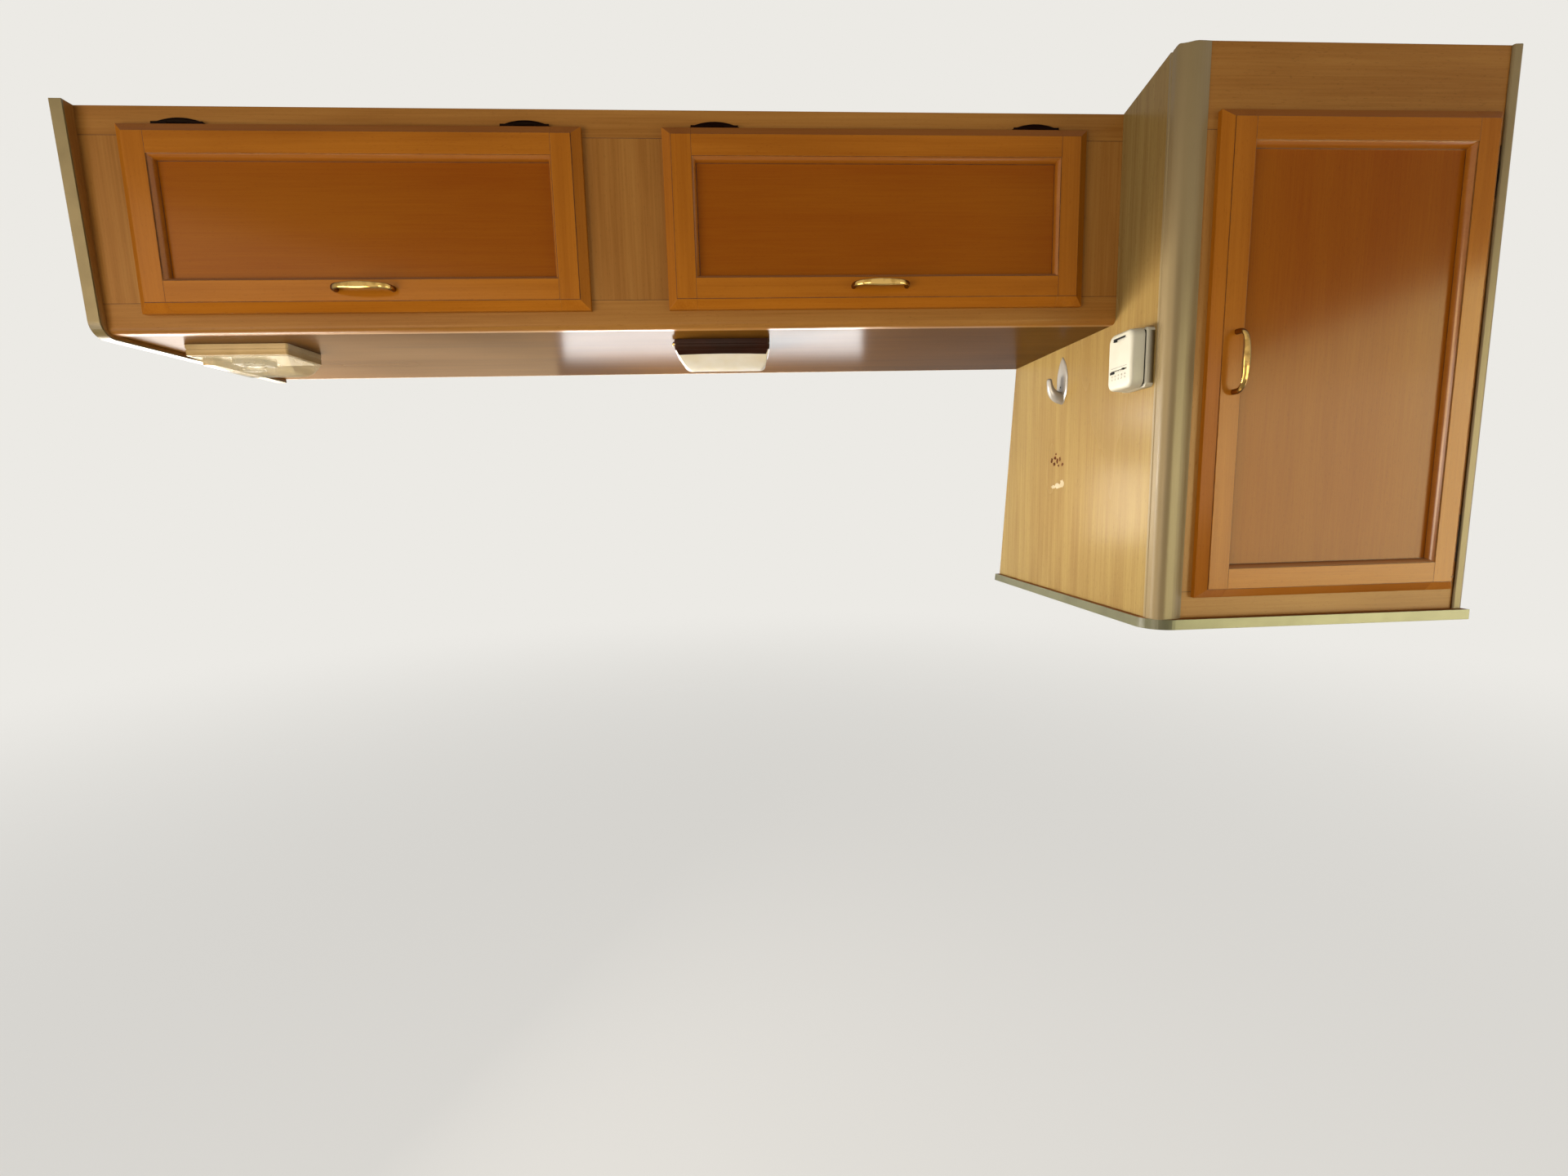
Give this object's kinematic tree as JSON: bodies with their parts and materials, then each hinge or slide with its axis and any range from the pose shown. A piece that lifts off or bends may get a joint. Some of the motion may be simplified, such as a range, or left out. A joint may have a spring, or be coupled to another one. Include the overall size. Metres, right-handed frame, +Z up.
{
  "type": "overhead cabinet run",
  "caption": "Overhead locker with lift-up framed doors and a deeper corner cupboard beside it, with lamps below, bow pulls, lens hinges, a thermostat and a coat hook.",
  "frame": {"origin": "on the wall line, at the middle of the locker's row of four hanging screws", "axes": "+X along the run to the viewer's right, front towards -Y, +Z up"},
  "size_m": [2.0926, 0.6684, 0.8272],
  "materials": {
    "laminate": "satin printed wood laminate on board",
    "ply": "bare thin ply and softwood",
    "edging": "satin olive edging strip",
    "trim": "satin grey-brown extruded trim",
    "door_wood": "lacquered golden brown hardwood",
    "door_panel": "lacquered darker red-brown veneer",
    "brass": "polished",
    "hinge": "dark bronze-black lacquer",
    "lamp_base": "aged ivory",
    "lamp_base_dark": "dark brown",
    "lens": "milky translucent",
    "switch": "bright",
    "thermostat": "off-white satin",
    "lever": "black",
    "hook": "white"
  },
  "bodies": {
    "cabinet": {"coat_hook": "hook", "corner_post": "trim", "cupboard_back": "ply", "cupboard_base": "laminate", "cupboard_base_edging": "edging", "cupboard_door_hinge_leaves": "hinge", "cupboard_end_trim": "trim", "cupboard_hanging_rail": "ply", "cupboard_rail_bottom": "laminate", "cupboard_rail_top": "laminate", "cupboard_roof": "ply", "cupboard_shelf_1": "laminate", "cupboard_shelf_2": "laminate", "cupboard_side_left": "laminate", "cupboard_side_right": "laminate", "cupboard_stile_left": "laminate", "cupboard_stile_right": "laminate", "end_edging": "edging", "end_panel": "laminate", "lamp_switches": "switch", "left_door_hinge_leaves": "hinge", "left_lamp_base": "lamp_base", "left_lamp_lens": "lens", "locker_back": "ply", "locker_divider": "laminate", "locker_floor": "laminate", "locker_hanging_rail": "ply", "locker_rail_bottom": "laminate", "locker_rail_top": "laminate", "locker_roof": "ply", "locker_stile_centre": "laminate", "locker_stile_left": "laminate", "locker_stile_right": "laminate", "right_door_hinge_leaves": "hinge", "right_lamp_base": "lamp_base_dark", "right_lamp_lens": "lens", "thermostat_cover": "thermostat", "thermostat_levers": "lever", "thermostat_plate": "thermostat"},
    "left_door": {"left_door_stile_left": "door_wood", "left_door_stile_right": "door_wood", "left_door_rail_top": "door_wood", "left_door_rail_bottom": "door_wood", "left_door_panel": "door_panel", "left_door_pull": "brass", "left_door_knuckles": "hinge"},
    "right_door": {"right_door_stile_left": "door_wood", "right_door_stile_right": "door_wood", "right_door_rail_top": "door_wood", "right_door_rail_bottom": "door_wood", "right_door_panel": "door_panel", "right_door_pull": "brass", "right_door_knuckles": "hinge"},
    "cupboard_door": {"cupboard_door_stile_left": "door_wood", "cupboard_door_stile_right": "door_wood", "cupboard_door_rail_top": "door_wood", "cupboard_door_rail_bottom": "door_wood", "cupboard_door_panel": "door_panel", "cupboard_door_pull": "brass", "cupboard_door_knuckles": "hinge"}
  },
  "joints": [
    {"name": "left_door_lift", "type": "hinge", "parent": "cabinet", "child": "left_door", "pos_m": [-0.3934, -0.3686, 0.0207], "axis": [-1, 0, 0], "range_deg": [0, 95]},
    {"name": "right_door_lift", "type": "hinge", "parent": "cabinet", "child": "right_door", "pos_m": [0.3902, -0.3686, 0.0207], "axis": [-1, 0, 0], "range_deg": [0, 95]},
    {"name": "cupboard_door_swing", "type": "hinge", "parent": "cabinet", "child": "cupboard_door", "pos_m": [1.2668, -0.5071, -0.3658], "axis": [0, 0, 1], "range_deg": [0, 100]}
  ]
}
